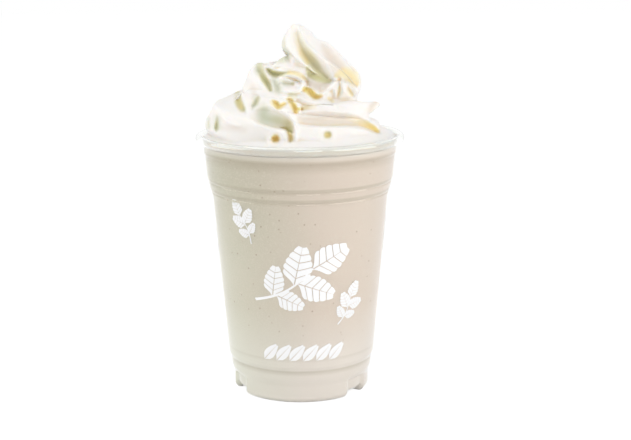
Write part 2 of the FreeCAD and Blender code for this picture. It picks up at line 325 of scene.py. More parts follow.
# ---- the cup
# Corners of the wall's outside in millimetres: radius, height and how much of the corner is rounded away.
cup = {
    "gauge": 0.5,
    "steps": 240,
    "lipTube": 2.1,
    "lipHeight": 120.0,
    "lipTurn": 235,
    "lipSteps": 24,
    "bendSteps": 5,
    "bendShare": 0.45,  # the most that a bend takes of the line beside it
    "sharpest": 40,  # degrees: what turns more than this keeps its edge
    "notches": (53.5, 173.5, 293.5),
    "notchSpan": 22.0,
    "notchSoft": 1.6,
    "notchTop": 8.0,
    "notchDepth": 1.1,
    "notchRise": 2.0,
    # the underside comes up fully below the first height and outside the second radius, and not at all
    # above the second height or within the first radius
    "notchFoot": (2.0, 4.5),
    "notchInside": (24.0, 29.0),
    "corners": [
        (23.0, 3.6, 1.0), (26.5, 0.0, 0.8), (30.6, 0.0, 0.9), (32.2, 1.8, 0.9), (32.2, 8.2, 0.5),
        (33.4, 11.4, 1.2), (33.9, 15.9, 0.6), (34.8, 17.9, 0.8), (41.3, 93.2, 1.2), (41.9, 95.0, 0.4),
        (41.7, 95.6, 0.3), (42.3, 96.3, 0.4), (43.1, 99.9, 0.4), (42.9, 100.5, 0.3), (43.5, 101.2, 0.4),
        (43.8, 102.6, 0.6), (44.7, 112.9, 0.7), (45.3, 113.9, 0.6),
    ],
}


def roundedLine(corners, inset):
    # the corners as a line with rounded bends, set in from the outside of the wall
    points = [Vector((radius, height)) for radius, height, cut in corners]
    moved = []
    for number, point in enumerate(points):
        before = points[max(number - 1, 0)]
        after = points[min(number + 1, len(points) - 1)]
        along = (after - before).normalized()
        moved.append(point + Vector((-along.y, along.x)) * inset)
    line = [moved[0]]
    for number in range(1, len(moved) - 1):
        corner = moved[number]
        cut = corners[number][2]
        towardsBefore = moved[number - 1] - corner
        towardsAfter = moved[number + 1] - corner
        first = corner + towardsBefore.normalized() * min(cut, towardsBefore.length * cup["bendShare"])
        last = corner + towardsAfter.normalized() * min(cut, towardsAfter.length * cup["bendShare"])
        for step in range(cup["bendSteps"]):
            share = step / (cup["bendSteps"] - 1)
            line.append(first * (1 - share) ** 2 + corner * 2 * share * (1 - share) + last * share ** 2)
    line.append(moved[-1])
    return line


def turnRings(name, line, steps):
    # a filled disc at the line's start, then one ring after another extruded from its edge
    deselectAll()
    start = line[0]
    bpy.ops.mesh.primitive_circle_add(
        vertices=steps, radius=start.x * mm, fill_type="TRIFAN", location=(0, 0, start.y * mm)
    )
    piece = nameIt(name)
    settle(piece)
    bpy.ops.object.mode_set(mode="EDIT")
    bpy.ops.mesh.select_mode(type="EDGE")
    bpy.ops.mesh.select_all(action="DESELECT")
    bpy.ops.mesh.select_non_manifold()
    for last, point in zip(line, line[1:]):
        bpy.ops.mesh.extrude_edges_move(TRANSFORM_OT_translate={"value": (0, 0, (point.y - last.y) * mm)})
        grow = point.x / last.x
        bpy.ops.transform.resize(value=(grow, grow, 1))
    return piece


def pressNotches(piece):
    # the stacking notches: the foot's side goes in and its underside comes up, with soft edges
    half = math.radians(cup["notchSpan"] / 2)
    soft = math.radians(cup["notchSoft"])
    low, high = cup["notchFoot"]
    inner, outer = cup["notchInside"]
    for vertex in piece.data.vertices:
        reach = math.hypot(vertex.co.x, vertex.co.y) / mm
        height = vertex.co.z / mm
        if height > cup["notchTop"] + 1 or reach < inner:
            continue
        around = math.atan2(vertex.co.x, -vertex.co.y)
        for turn in cup["notches"]:
            away = abs((around - math.radians(turn) + math.pi) % math.tau - math.pi)
            across = min(max((half + soft - away) / (2 * soft), 0), 1)
            over = min(max(cup["notchTop"] + 1 - height, 0), 1)
            press = across * across * (3 - 2 * across) * over
            rise = min(max((high - height) / (high - low), 0), 1)
            rise *= min((reach - inner) / (outer - inner), 1)
            vertex.co.x *= 1 - press * cup["notchDepth"] / reach
            vertex.co.y *= 1 - press * cup["notchDepth"] / reach
            vertex.co.z += press * rise * cup["notchRise"] * mm


def buildCup():
    line = roundedLine(cup["corners"], 0.0)
    tube = cup["lipTube"] - cup["gauge"]
    middle = Vector((cupHigh[0] / mm - cup["lipTube"], cup["lipHeight"]))
    for step in range(cup["lipSteps"] + 1):
        angle = math.radians(180 - cup["lipTurn"] * step / cup["lipSteps"])
        line.append(middle + Vector((math.cos(angle), math.sin(angle))) * tube)
    piece = turnRings("cupWall", line, cup["steps"])
    deselectAll()
    pressNotches(piece)
    pickOnly(piece)
    bpy.ops.object.mode_set(mode="EDIT")
    bpy.ops.mesh.select_all(action="SELECT")
    bpy.ops.mesh.normals_make_consistent(inside=False)
    deselectAll()
    if min(piece.data.polygons, key=lambda face: face.center.z).normal.z > 0:
        # an open wall has no inside of its own: the foot's underside has to look down
        bpy.ops.object.mode_set(mode="EDIT")
        bpy.ops.mesh.flip_normals()
    applyModifier(piece, "SOLIDIFY", thickness=cup["gauge"] * mm, offset=-1.0)
    smoothShade(piece, cup["sharpest"])
    piece.data.materials.append(petMaterial)
    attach(piece, "root")
    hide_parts("cup")


def buildDrink():
    # reaches half way into the sheet, so that no air shows between the two
    inset = cup["gauge"] / 2
    line = roundedLine(cup["corners"], inset)
    neck = line[-1].x
    line.append(Vector((neck, drinkHigh[2] / mm)))
    piece = turnRings("blendedDrink", line, cup["steps"])
    bpy.ops.mesh.edge_face_add()
    bpy.ops.mesh.select_all(action="SELECT")
    bpy.ops.mesh.normals_make_consistent(inside=False)
    deselectAll()
    pressNotches(piece)
    smoothShade(piece, cup["sharpest"])
    piece.data.materials.append(drinkMaterial)
    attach(piece, "root")
    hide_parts("smoothie")


buildCup()
buildDrink()
print("cup and drink made")


# ---- the print: mint sprigs in white ink
# A sprig stands at a turn in degrees from the front, counted to the right, at a height in millimetres,
# with its size and its lean. A leaf of the sprig: how far along the stem, its side, its turn off the stem,
# its length and its width.
printing = {
    "film": 0.08,
    "sunk": 0.02,
    "wallLow": (34.8, 17.9),
    "wallHigh": (41.3, 93.2),
    "veins": 5,
    "veinGap": 0.011,
    "veinSlant": 0.2,
    "tipRoom": 0.12,  # share of the midrib beyond the last slanted slice's foot
    "belly": (0.8, 0.75, 0.25),  # powers that place the widest part and fill it out, and the taper
    "tooth": 0.09,
    "midrib": 0.25,
    "thinnest": 0.02,
    "sharpest": 30,
    "bladeSquares": (6, 5),
    "stemLength": 30.0,
    "stemBow": 3.0,
    "stemWidth": (1.3, 0.6),
    "stemSquares": (24, 2),
    "middle": 22.0,  # from a sprig's foot to the middle of its length
    "leaves": [
        (0.98, 0, 4, 20.0, 13.0), (0.70, 1, 50, 19.0, 12.0), (0.64, -1, 48, 20.0, 12.5),
        (0.34, 1, 54, 14.5, 9.0), (0.28, -1, 52, 15.5, 9.5),
    ],
    "sprigs": [
        (-3, 50.0, 1.05, -60), (-40, 76.0, 0.46, 24), (34, 38.0, 0.46, -26), (177, 50.0, 1.05, -60),
        (140, 76.0, 0.46, 24), (214, 38.0, 0.46, -26), (88, 62.0, 0.5, 8), (-92, 56.0, 0.5, -12),
    ],
    "garlands": (2, 182),
    "garlandHeight": 25.5,
    "garlandLeaves": 6,
    "garlandStep": 6.2,
    "garlandLean": -42,
    "garlandLeaf": (11.4, 5.2),
}


def flatGrid(columns, rows, shape):
    # a sheet of squares whose places, from 0 to 1 along and across, are given by the shape
    deselectAll()
    bpy.ops.mesh.primitive_grid_add(x_subdivisions=columns, y_subdivisions=rows, size=1)
    sheet = bpy.context.object
    for vertex in sheet.data.vertices:
        along, across = vertex.co.x + 0.5, vertex.co.y + 0.5
        vertex.co.x, vertex.co.y = shape(along, across)
    return sheet


def leafHalf(length, width, side, veins):
    # the leaf's blade on one side of its midrib, with bare veins and a toothed edge
    slices = []
    lean, full, taper = printing["belly"]
    for number in range(veins):
        first = number / veins + printing["veinGap"] * (number > 0)
        last = (number + 1) / veins - printing["veinGap"] * (number < veins - 1)

        def blade(along, across, first=first, last=last):
            base = (first + (last - first) * along) * (1 - printing["tipRoom"])
            place = min(base + printing["veinSlant"] * across * (1 - base), 1)
            bulge = math.sin(math.pi * place ** lean) ** full * (1 - taper * place)
            tooth = 1 + printing["tooth"] * math.sin(math.pi * along)
            rib = printing["midrib"] * (1 - place)
            half = max(width / 2 * bulge * tooth - rib, printing["thinnest"])
            return length * place, side * (rib + half * across)

        slices.append(flatGrid(*printing["bladeSquares"], blade))
    return slices


def buildSprig():
    # one sprig lying flat, its stem's foot at the origin
    pieces = []
    length, bow = printing["stemLength"], printing["stemBow"]

    def stemPlace(along):
        return Vector((bow * math.sin(math.pi * along), length * along))

    def stem(along, across):
        middle = stemPlace(along)
        foot, tip = printing["stemWidth"]
        return middle.x + (across - 0.5) * (foot + (tip - foot) * along), middle.y

    pieces.append(flatGrid(*printing["stemSquares"], stem))
    for along, side, turn, leafLength, leafWidth in printing["leaves"]:
        root = stemPlace(along)
        for half in (1, -1):
            for sheet in leafHalf(leafLength, leafWidth, half, printing["veins"]):
                sheet.rotation_euler.z = math.radians(90 - side * turn)
                sheet.location = (root.x, root.y, 0)
                pieces.append(sheet)
    return joinAll("mintSprig", pieces)


def buildGarland():
    # a low row of small leaves, all leaning the same way
    pieces = []
    length, width = printing["garlandLeaf"]
    lean = math.radians(printing["garlandLean"])
    for number in range(printing["garlandLeaves"]):
        place = (number - (printing["garlandLeaves"] - 1) / 2) * printing["garlandStep"]
        for half in (1, -1):
            for sheet in leafHalf(length, width, half, 1):
                sheet.rotation_euler.z = math.radians(90) + lean
                sheet.location = (place + length / 2 * math.sin(lean), -length / 2 * math.cos(lean), 0)
                pieces.append(sheet)
    return joinAll("mintGarland", pieces)


def wrapOn(piece, turn, height):
    # lays the flat print round the cup's wall
    (lowRadius, low), (highRadius, high) = printing["wallLow"], printing["wallHigh"]
    slope = (highRadius - lowRadius) / (high - low)
    middle = lowRadius + (height - low) * slope
    for vertex in piece.data.vertices:
        up = height + vertex.co.y
        radius = lowRadius + (up - low) * slope - printing["sunk"]
        around = math.radians(turn) + vertex.co.x / middle
        vertex.co = Vector((radius * math.sin(around), -radius * math.cos(around), up)) * mm


def copyOf(piece, turn, size):
    pickOnly(piece)
    bpy.ops.object.duplicate()
    copied = bpy.context.object
    copied.rotation_euler.z = math.radians(turn)
    copied.scale = (size, size, size)
    settle(copied)
    return copied


def buildPrint():
    sprig = buildSprig()
    garland = buildGarland()
    parts = []
    for turn, height, size, lean in printing["sprigs"]:
        part = copyOf(sprig, lean, size)
        # a leaning sprig's middle, not its foot, stands at the given turn
        for vertex in part.data.vertices:
            vertex.co.x += printing["middle"] * size * math.sin(math.radians(lean))
        wrapOn(part, turn, height)
        parts.append(part)
    for turn in printing["garlands"]:
        part = copyOf(garland, 0, 1)
        wrapOn(part, turn, printing["garlandHeight"])
        parts.append(part)
    for flat in (sprig, garland):
        bpy.data.objects.remove(flat)
    piece = joinAll("whitePrint", parts)
    bpy.ops.object.mode_set(mode="EDIT")
    bpy.ops.mesh.select_mode(type="FACE")
    bpy.ops.mesh.select_all(action="DESELECT")
    bpy.ops.object.mode_set(mode="OBJECT")
    for face in piece.data.polygons:
        face.select = face.normal.dot(Vector((face.center.x, face.center.y, 0))) < 0
    bpy.ops.object.mode_set(mode="EDIT")
    bpy.ops.mesh.flip_normals()
    applyModifier(piece, "SOLIDIFY", thickness=printing["film"] * mm, offset=1.0)
    smoothShade(piece, printing["sharpest"])
    piece.data.materials.append(inkMaterial)
    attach(piece, "root")
    print("print:", len(piece.data.polygons), "faces")


buildPrint()
print("print made")


# ---- the whipped cream
# The coil's stations: degrees clockwise from the front as seen from above, then millimetres out from the
# axis, height and radius. A strand's places are millimetres right, back, up and its radius, and so are the
# dollop's rings, with the turn of their ridges in degrees at the end.
# A stroke is laid on from the front: millimetres right and up where the line of sight crosses the middle
# of the cup, the reach of the stroke to its left and to its right, or one reach for both, and how far it
# rises or digs. A painted shade's stations are the same, with its strength from 0 to 1 at the end.
cream = {
    "voxel": 0.58,
    "bedSunk": 0.2,
    "bedHeight": 128.0,
    "bedEdge": 120.4,
    "bedFullness": 5.0,
    "bedSteps": 20,
    "coil": [
        (-120, 27, 119, 11), (-60, 28, 121, 12.5), (0, 27.5, 122.5, 13), (50, 30.5, 126, 13),
        (95, 32.2, 127, 12.4), (180, 27, 132, 12.5), (265, 18, 133, 10.8), (310, 15.5, 135, 11.5),
        (360, 12, 137.5, 11), (405, 13.5, 140.5, 11), (450, 15.2, 143.5, 11.8), (540, 12, 144.5, 11),
        (610, 13, 144.5, 11),
    ],
    "coilRidges": 7,
    "coilDepth": 0.12,
    "coilTwist": 200.0,
    "coilSteps": 8,
    # along the rope's outer side where nothing has touched it: degrees above or below its middle
    "flutes": (-52, -22, 6, 34, 62),
    "fluteReach": 3.4,
    "fluteDepth": 1.7,
    "fluteSteps": 120,
    "fluteFrom": 0.1,  # they fade in where the turn from the front has this cosine
    "fluteBlend": 0.6,  # and over this much of it
    "dollop": [
        (15, 2, 138, 9.5, -12), (16.3, 0.5, 141, 10.8, -11), (17, -1, 144, 11.7, -10),
        (16.2, -2.5, 147, 12.2, -8), (13.8, -4, 150, 12.6, -4), (11, -5, 153, 12.9, 1),
        (8.2, -5.5, 156, 13.2, 8), (5.8, -5.5, 158.5, 13, 12), (4.2, -5, 160.5, 12.6, 15),
        (2.4, -4.2, 162.4, 11.6, 18), (0.9, -3.3, 164.4, 9.8, 20), (0, -2.4, 167, 8.1, 22),
        (-0.3, -1.6, 169.4, 5.9, 25), (-0.9, -1, 171.2, 3.9, 28), (-1.6, -0.6, 172.4, 1.6, 30),
    ],
    "dollopSteps": 96,
    "dollopRidges": 6,
    "dollopDepth": 0.3,
    "dollopLean": 0.6,
    "dollopRings": 2,
    # right and up, radius and depth, the ring round it with its radius and reach, and how far it rises
    "bubbles": [(-11.5, 119.1, 2.0, 2.8, 3.3, 1.4, 0.8), (12.6, 120.7, 2.4, 1.6, 3.5, 1.4, 0.4)],
    "bubbleSteps": 16,
    # strokes and painted shades with steep sides, and where the brush stands
    "steep": ("throat", "nicheLeft", "nicheRight", "frontHollow", "olive", "amber"),
    "brush": (0.0, -670.5, 216.8),
    "grazing": 0.3,  # skin seen more edge-on than this takes less of the stroke
    "strandSteps": 4,
    "strokeSteps": 3,
    # rounds of smoothing, the depths at which painted shade starts in a fold and is full, and its share
    "folds": [(30, 0.15, 1.2, 0.5), (150, 0.4, 4.0, 0.2)],
    "unevenSize": 7.0,
    "unevenness": 0.5,
    "softening": 5,
    "strands": {
        "flap": [
            (-15.5, -6, 151.2, 1.2), (-12.5, -7, 152, 1.8), (-9.5, -7.5, 153.2, 2.6),
            (-6.5, -8, 154.6, 3.6), (-2.5, -8.5, 154.4, 4.4), (2, -8.5, 153, 4.8), (6, -7.5, 151.5, 4.2),
        ],
        "saddle": [
            (-26, -10, 138, 4), (-20, -19, 136.8, 5), (-13, -23.5, 136, 5.2), (-6, -25, 135.5, 4.6),
            (0, -25, 134.5, 4),
        ],
        "tip": [
            (10, -17, 132.5, 3), (16, -20, 133.6, 4.2), (23, -20, 134.8, 4.4), (29, -17, 135, 3.4),
            (33.5, -14.5, 136, 2.2), (35.6, -13.5, 136.4, 1.3), (36.6, -13, 136.4, 0.6),
        ],
        "flapFill": [
            (-14.5, -10, 149.6, 1.6), (-11, -11.2, 150.2, 2.4), (-6, -12, 150.8, 2.9),
            (-1, -12, 150.2, 2.8), (3, -11.5, 148.8, 2),
        ],
        "lobeTop": [
            (-21.4, -2, 146.5, 4), (-19.2, -3, 149.4, 4.4), (-17.6, -4, 151, 4.2), (-15, -8, 148.5, 3.4),
        ],
        "backPetal": [
            (5.5, 3, 164, 1.8), (9.6, 3.5, 162.4, 2.6), (13.2, 3.5, 160, 3), (17, 3.5, 155.8, 3.1),
            (20.8, 3, 151.6, 3.5), (24.2, 2, 147.8, 3.8), (25.3, 1, 144.4, 3.6), (24.8, -1, 141.4, 3.2),
            (23.6, -3, 138.6, 3),
        ],
        "petalFill": [
            (0, -26, 132.2, 3), (8, -26, 132.6, 3.2), (16, -24.5, 132.2, 3.2), (24, -20.5, 131, 3),
            (31, -16, 129.2, 2.6),
        ],
        "saddleFill": [
            (-24, -9, 140.6, 2.5), (-20, -14, 140.4, 3.4), (-14, -18, 140, 3.8), (-8, -19.5, 139.4, 3.8),
            (-2, -20, 138.4, 3.2),
        ],
        "tipFill": [
            (2, -23, 134.2, 2.4), (8, -23.2, 134.6, 3), (14, -22.8, 134.6, 3), (20, -20.8, 133.8, 2.4),
        ],
        "shelfFill": [(3.5, -9, 146.5, 4), (8, -10.5, 146, 5), (12.5, -10.5, 144.5, 4.6)],
        "shoulder": [(10, -15, 140, 5.5), (17, -13.5, 141.5, 6), (24.2, -10, 140.6, 5.2)],
    },
    "strokes": {
        "dollopValley": [
            (-1.2, 171, 1.4, 1.2, -0.8), (-0.6, 167, 2.4, 1.8, -1.6), (0.8, 162.5, 3, 2.4, -2.4),
            (3.2, 158, 3.6, 3.2, -2.8), (6, 154, 3.8, 3.4, -2.8), (8.6, 150.5, 3.6, 3.4, -2.4),
            (11.5, 147.8, 2.4, -1.6), (14, 146.2, 1.2, -0.8),
        ],
        "valleyFoot": [
            (3.6, 152.5, 1.2, 0), (4.8, 149.8, 1.8, 0.6), (7.4, 147.8, 1.8, 0.8), (10, 146.8, 1.8, 0.6),
            (13, 145.9, 1.2, 0.2),
        ],
        "leftRidge": [
            (-4, 169, 1.5, 0.3), (-4, 163, 2, 1.8, 0.7), (-2.6, 158.5, 2.2, 2, 0.9), (0.2, 155, 2, 1),
            (2.6, 152.2, 1.4, 1.6, 0.8),
        ],
        "rightRidge": [
            (1.6, 169.5, 1, 0.4), (5.2, 164.5, 1.4, 0.7), (9.2, 159, 1.7, 1), (12.2, 153.5, 1.9, 1.2),
            (14.8, 148.6, 1.9, 1.2), (16.2, 145.6, 1.4, 0.8),
        ],
        "dollopShade": [
            (17, 157, 3.5, -1), (20, 152, 5, 4.5, -2), (23, 148, 5, 4.5, -2.6), (25, 144.5, 3.5, -2),
        ],
        "shelf": [(5.5, 144.5, 2, 0.8), (9, 143.5, 2.6, 1.6), (12.4, 143, 2, 1)],
        "flapGroove": [
            (-9, 160, 1.4, -1.5), (-6.6, 158.6, 1.6, 2, -3), (-5.4, 156.6, 1.6, 2, -2.6),
            (-4.4, 155, 1.4, 1.6, -1.2),
        ],
        "flapEdge": [
            (-14.5, 153.2, 0.8, 0.6, 0.5), (-11, 153.2, 1.6, 1, 1), (-6, 152.4, 2.2, 1.2, 1.4),
            (-1, 151.2, 2.2, 1.2, 1.5), (3, 150, 1.6, 1, 1),
        ],
        "underFlap": [
            (-14.6, 151.4, 1, 2.2, -2), (-13, 150, 2, 3, -5.2), (-10.8, 149.2, 2, 2.8, -5.4),
            (-8.6, 149, 1.6, 2.2, -3.4), (-6, 149.6, 1.2, 1.6, -0.4), (-3, 149.6, 1.2, 1.6, 1),
            (0.5, 149.2, 1.2, 1.4, 0.8),
        ],
        "throatRoof": [(1.5, 148.2, 1.2, -0.6), (3.4, 146, 1.4, -1), (4, 144, 1.4, -1.4)],
        "lobeGroove": [
            (-19.4, 154, 2, 2.6, -0.8), (-18.8, 151, 2.8, 3, -2), (-17.2, 148.2, 3, 2.6, -3.6),
            (-15.6, 145.6, 3, 2, -4.4), (-14.4, 143.4, 2.4, 1.6, -4.2), (-13.6, 141.6, 1.4, 1.2, -2.4),
        ],
        "lobeFloor": [(-12, 146, 2.5, -1.6), (-10.5, 143, 3, -2), (-9.5, 140.8, 2, -1)],
        "curl": [
            (-10.2, 145, 1.1, 1), (-9.6, 147.4, 1.2, 2.4), (-6.8, 148.8, 1.3, 3), (-3.2, 148.6, 1.3, 3.2),
            (-0.2, 147.4, 1.5, 3.4), (1.6, 145.2, 1.6, 3.6), (1, 142.8, 1.6, 3.2), (-2, 141.4, 1.5, 2.6),
            (-5.5, 141.2, 1.5, 2.2), (-8.4, 141.6, 1.3, 1.6),
        ],
        "curlInside": [(-7.6, 145.2, 2, -1.6), (-5.4, 144.8, 2.4, -2.4), (-3, 144.8, 1.8, -2.2)],
        "longFold": [
            (-17, 138, 2, 0.6), (-12, 138.4, 2.2, 1.2), (-7.5, 138.4, 2, 1.4), (-1, 138.6, 1.6, 1.6),
            (1.8, 137, 1.8, 2.2), (5, 136, 1.8, 2.4), (10, 135.6, 2, 2.2), (16, 135.4, 2.2, 1.8),
            (24, 135, 2.2, 1.2), (30, 135.2, 1.8, 0.5),
        ],
        "throat": [
            (1.2, 141.4, 0.9, -1.4), (2.8, 142.2, 1.4, 1.2, -3.2), (4.4, 141.2, 1.8, 1.5, -3.4),
            (5.8, 139.4, 2, 1.5, -3.4), (7.6, 138.3, 2, 1.3, -3), (9.8, 138.8, 1.2, 1, -1.6),
        ],
        "nicheLeft": [
            (-12.4, 136.6, 1.2, -1.2), (-11, 135, 1.9, 1.7, -3.8), (-9.8, 133.8, 1.7, 1.3, -3.8),
            (-7.8, 135, 1.1, -2), (-5.4, 136, 1, -1.6),
        ],
        "nicheRight": [
            (-5.2, 137.2, 1.2, -1.6), (-3.8, 135.6, 1.6, 1.4, -2.8), (-2.6, 133.6, 1.7, 1.3, -3.2),
            (-2.2, 131.4, 1.3, 1.1, -2),
        ],
        "nicheTail": [(-1.4, 132.8, 1.1, 0.9, -1.8), (2, 132.9, 1, 0.8, -1), (5, 133.4, 0.9, 0.8, -0.4)],
        "lump": [(-8.4, 132.4, 1.4, 1.4), (-6.2, 133, 1.9, 2.8), (-4.6, 131.8, 1.5, 2)],
        "foldShade": [
            (-21, 128, 5.5, 0.8, -2), (-18, 126.4, 7.5, 0.8, -4.5), (-14, 124.8, 8, 0.8, -5),
            (-10.5, 124, 7.5, 0.8, -5.5), (-7, 123.8, 6, 0.8, -5.5), (-5, 122.6, 4, 0.8, -4.5),
        ],
        "foldRim": [
            (-20.5, 134, 2.5, 2, 1), (-15, 134.4, 3.5, 2.2, 2.6), (-9.5, 132.8, 3.5, 2, 3.4),
            (-5.4, 130.2, 3, 1.8, 3.6), (-2.8, 126.8, 2.6, 1.4, 3.2), (-1.8, 122.5, 2.2, 1, 2.4),
            (-2.2, 118.6, 1.6, 0.8, 1.2),
        ],
        "frontHollow": [
            (-8.6, 124.2, 0.8, 0.6, -0.8), (-6.8, 123.6, 1.4, 1, -2), (-5.4, 122, 1.7, 1.4, -3.2),
            (-4.6, 120.2, 1.8, 1.6, -4.2), (-4.6, 118.2, 1.5, -3.4),
        ],
        "bedBrow": [
            (-20, 126, 0.6, 2, 0.6), (-16, 125, 0.6, 2.4, 1), (-12, 123.8, 0.6, 2.4, 1.2),
            (-9, 123.6, 0.6, 2, 1.2),
        ],
        "lobeLow": [(-23.6, 139, 2.4, 0.6), (-23.4, 136, 3, 1.4), (-24, 133.4, 2, 0.8)],
        "petalShade": [
            (-1, 126.4, 4, 0.9, -1.2), (2, 125.8, 6, 1, -2.6), (8, 125.2, 7, 1, -3.4),
            (14, 125, 7, 1, -3.6), (20, 125.2, 6, 1, -4), (25, 125.2, 5, 0.9, -5),
            (29, 124.6, 4.5, 0.8, -6), (33, 123, 3.8, 0.8, -5.5), (36, 121.6, 2.4, 0.7, -3.5),
        ],
        "petalEdge": [
            (0, 132, 3, 1.5, 0.8), (4, 132.6, 3.5, 2, 1.4), (10, 132.9, 4, 2, 1.8), (16, 132.4, 4, 2, 1.8),
            (22, 131.2, 4, 2, 1.8), (28, 129.4, 3.6, 1.8, 1.6), (33, 127, 3, 1.4, 1.4),
            (37, 124.2, 2, 1, 0.8),
        ],
        "bedRim": [
            (1, 124.6, 0.7, 3, 0.4), (8, 124, 0.7, 3.5, 0.6), (14, 123.7, 0.7, 3.5, 0.6),
            (20, 123.8, 0.7, 3.5, 0.7), (25, 123.6, 0.7, 3, 1), (30, 122.6, 0.7, 2.5, 1),
            (35, 120.8, 0.7, 2, 0.6),
        ],
        "tierGap": [
            (-28.2, 141, 1.6, 2.6, -1.6), (-27.8, 138.5, 1.8, 3.4, -3.4), (-27.4, 136, 1.8, 3.6, -4.2),
            (-26.6, 133.8, 1.6, 3.2, -4.2), (-25.4, 132.2, 1.2, 2, -2.6),
        ],
        "lobeDent": [
            (-19.4, 138.6, 1.6, 1.8, -1.6), (-20, 136.4, 1.8, 2.2, -2.2), (-21.4, 134.4, 1.5, 1.8, -1.8),
        ],
        "rimDent": [
            (-38.2, 130, 1.2, 1, -0.8), (-38.4, 127.2, 1.8, 1.5, -2.2), (-38.8, 124.8, 2.2, 1.8, -3),
            (-39, 123.2, 1.6, 1.2, -2.2),
        ],
        "rimDentSmall": [(-42, 129, 0.9, -1), (-42.2, 126.6, 1, -1.6), (-42.2, 124.6, 0.9, -1.4)],
        "smear": [
            (-37, 130, 1.2, 1.4, 0.8), (-34.5, 127.6, 1.6, 1.4), (-31, 125.8, 1.8, 1.6, 1.4),
            (-28, 125.5, 1.6, 0.5),
        ],
        "crumpleRidge": [
            (9.6, 139.4, 1.1, 1), (12.6, 141.6, 1.4, 2.2), (15.2, 144.4, 1.4, 2.6), (16.8, 147, 1.1, 1.4),
        ],
        "crumpleShade": [(14.8, 141, 1.9, -1.6), (15.5, 138.8, 1.9, -1.6)],
        "crumpleGroove": [
            (18.2, 146.6, 1, -1), (18.6, 143.6, 1.3, -2), (18.4, 141, 1.4, 1.5, -2.2),
            (17.6, 138.6, 1.3, -1.4),
        ],
        "crumpleFold": [(19.8, 146, 1.1, 1.4), (20.6, 143.4, 1.2, 2.2), (20.8, 140.6, 1.2, 1.8)],
        "crumpleSlot": [(22, 143.4, 1.1, -1.2), (23.4, 141.2, 1.3, -2.2), (24.6, 139.2, 1.2, -1.6)],
        "crumpleEdge": [(22.4, 145, 1.1, 1.2), (25, 143, 1.2, 2), (26.6, 140.6, 1.2, 1.8)],
        "crumpleFoot": [
            (14.5, 138, 0.9, -0.6), (18, 137.8, 1, -0.9), (22, 137.7, 1, -0.9), (26, 138.3, 0.8, -0.5),
        ],
        "crumplePit": [(13.4, 137.6, 1.1, -0.8), (14.8, 136.6, 1.1, -0.8)],
    },
    # painted shade: tints laid on the hollows, creases and undersides where shade falls
    "paintedShades": {
        "blush": [
            [
                (1, 128.8, 3.9, 4.2, 0.7), (8, 128.8, 5.3, 5, 1), (15, 128.4, 5.3, 4.8, 1),
                (21, 127.8, 4.5, 4.2, 1), (26, 126.8, 3.6, 3.4, 0.6),
            ],
            [(11, 162, 2.5, 0.6), (14.5, 157, 4.8, 1), (18.5, 152.5, 5.3, 5, 1)],
            [(6, 144, 3.4, 0.8), (9, 143.6, 3.9, 1), (12, 143.2, 3.1, 0.8)],
            [(-36, 124.4, 2.5, 2.8, 0.4), (-26, 123.4, 2.5, 0.3)],
            [(-21.8, 143.4, 2.5, 0.4), (-20.6, 137.8, 2, 0.4)],
            [(36, 136, 2, 0.8), (33.6, 133.8, 2.5, 0.9), (32.4, 131.4, 1.7, 0.5)],
            [(14, 138, 3.6, 0.4), (22, 139.6, 4.8, 0.4)],
        ],
        "mint": [
            [
                (-7.8, 168, 2.2, 0.4), (-7.4, 161.5, 2.5, 0.6), (-5.8, 157.4, 3.4, 1),
                (-10, 156, 3.1, 2.8, 0.9),
            ],
            [(-18.4, 154.6, 3.4, 0.9), (-18.6, 151.4, 3.6, 0.9)],
            [(-16.6, 132.6, 4.8, 5.6, 0.9), (-16.4, 129.2, 6.4, 5.6, 1), (-11.5, 128, 5.3, 4.8, 0.9)],
            [(-38.6, 129, 3.1, 0.6), (-38.8, 125, 3.6, 3.4, 0.8)],
            [(-42.6, 128.6, 2, 0.6), (-42.6, 124.6, 2, 0.7)],
            [(-20.4, 137.6, 3.1, 3.4, 0.7), (-21.2, 134.8, 2.8, 3.6, 0.7)],
            [(-11.4, 146, 3.9, 0.8), (-10.4, 142.4, 4.2, 0.8)],
            [(-7, 145, 3.1, 0.7), (-4, 145, 2, 0.4)],
        ],
        "olive": [
            [
                (-0.5, 168, 1.8, 1.6, 0.3), (1.8, 162, 2.8, 2.4, 0.5), (5, 157, 3.4, 3.2, 0.7),
                (7.4, 153, 3.2, 0.7), (9, 149.5, 3, 0.8), (12, 147, 2, 0.9),
            ],
            [
                (3.8, 152, 1.4, 0.8), (5, 149.2, 2.2, 1), (8, 147.6, 2.4, 1), (11, 146.6, 2.2, 1),
                (13.6, 145.8, 1.4, 0.9),
            ],
            [
                (-14.3, 151.4, 1.2, 1.6, 0.9), (-12, 149.8, 2.2, 2.4, 1), (-8.4, 149.4, 1.6, 1.8, 0.9),
                (-5, 149.8, 1.2, 0.5),
            ],
            [
                (-18.8, 153.2, 2.2, 1.8, 0.5), (-18, 150.6, 2.4, 1.8, 0.7), (-17, 148, 2.6, 2, 1),
                (-15.4, 145, 2.4, 1.8, 1), (-13.8, 142.2, 1.8, 1.4, 0.9),
            ],
            [(-3, 145.2, 1.2, 0.5), (-3.2, 144.6, 1.2, 0.5)],
            [(-4.4, 139.2, 1.8, 0.5), (-2, 139, 1.6, 0.5)],
            [(-28.8, 140.2, 2.2, 2.6, 0.8), (-28.4, 136.5, 2.4, 2.8, 1), (-26.6, 133.4, 2, 2.4, 1)],
            [(-19.2, 138.2, 1.4, 0.6), (-20, 135.6, 1.4, 1.8, 0.5)],
            [
                (-12, 128.6, 2.4, 3.2, 0.2), (-8, 127, 3.6, 3.4, 0.55), (-5.6, 125.6, 3, 2.6, 0.8),
                (-4.6, 122.5, 2, 1.8, 1),
            ],
            [(-38.6, 128.4, 1.2, 0.3), (-38.9, 124.2, 1.6, 0.6)],
            [(12.8, 120.7, 2.4, 0.8), (13.2, 120.7, 2.4, 0.8)],
        ],
        "amber": [
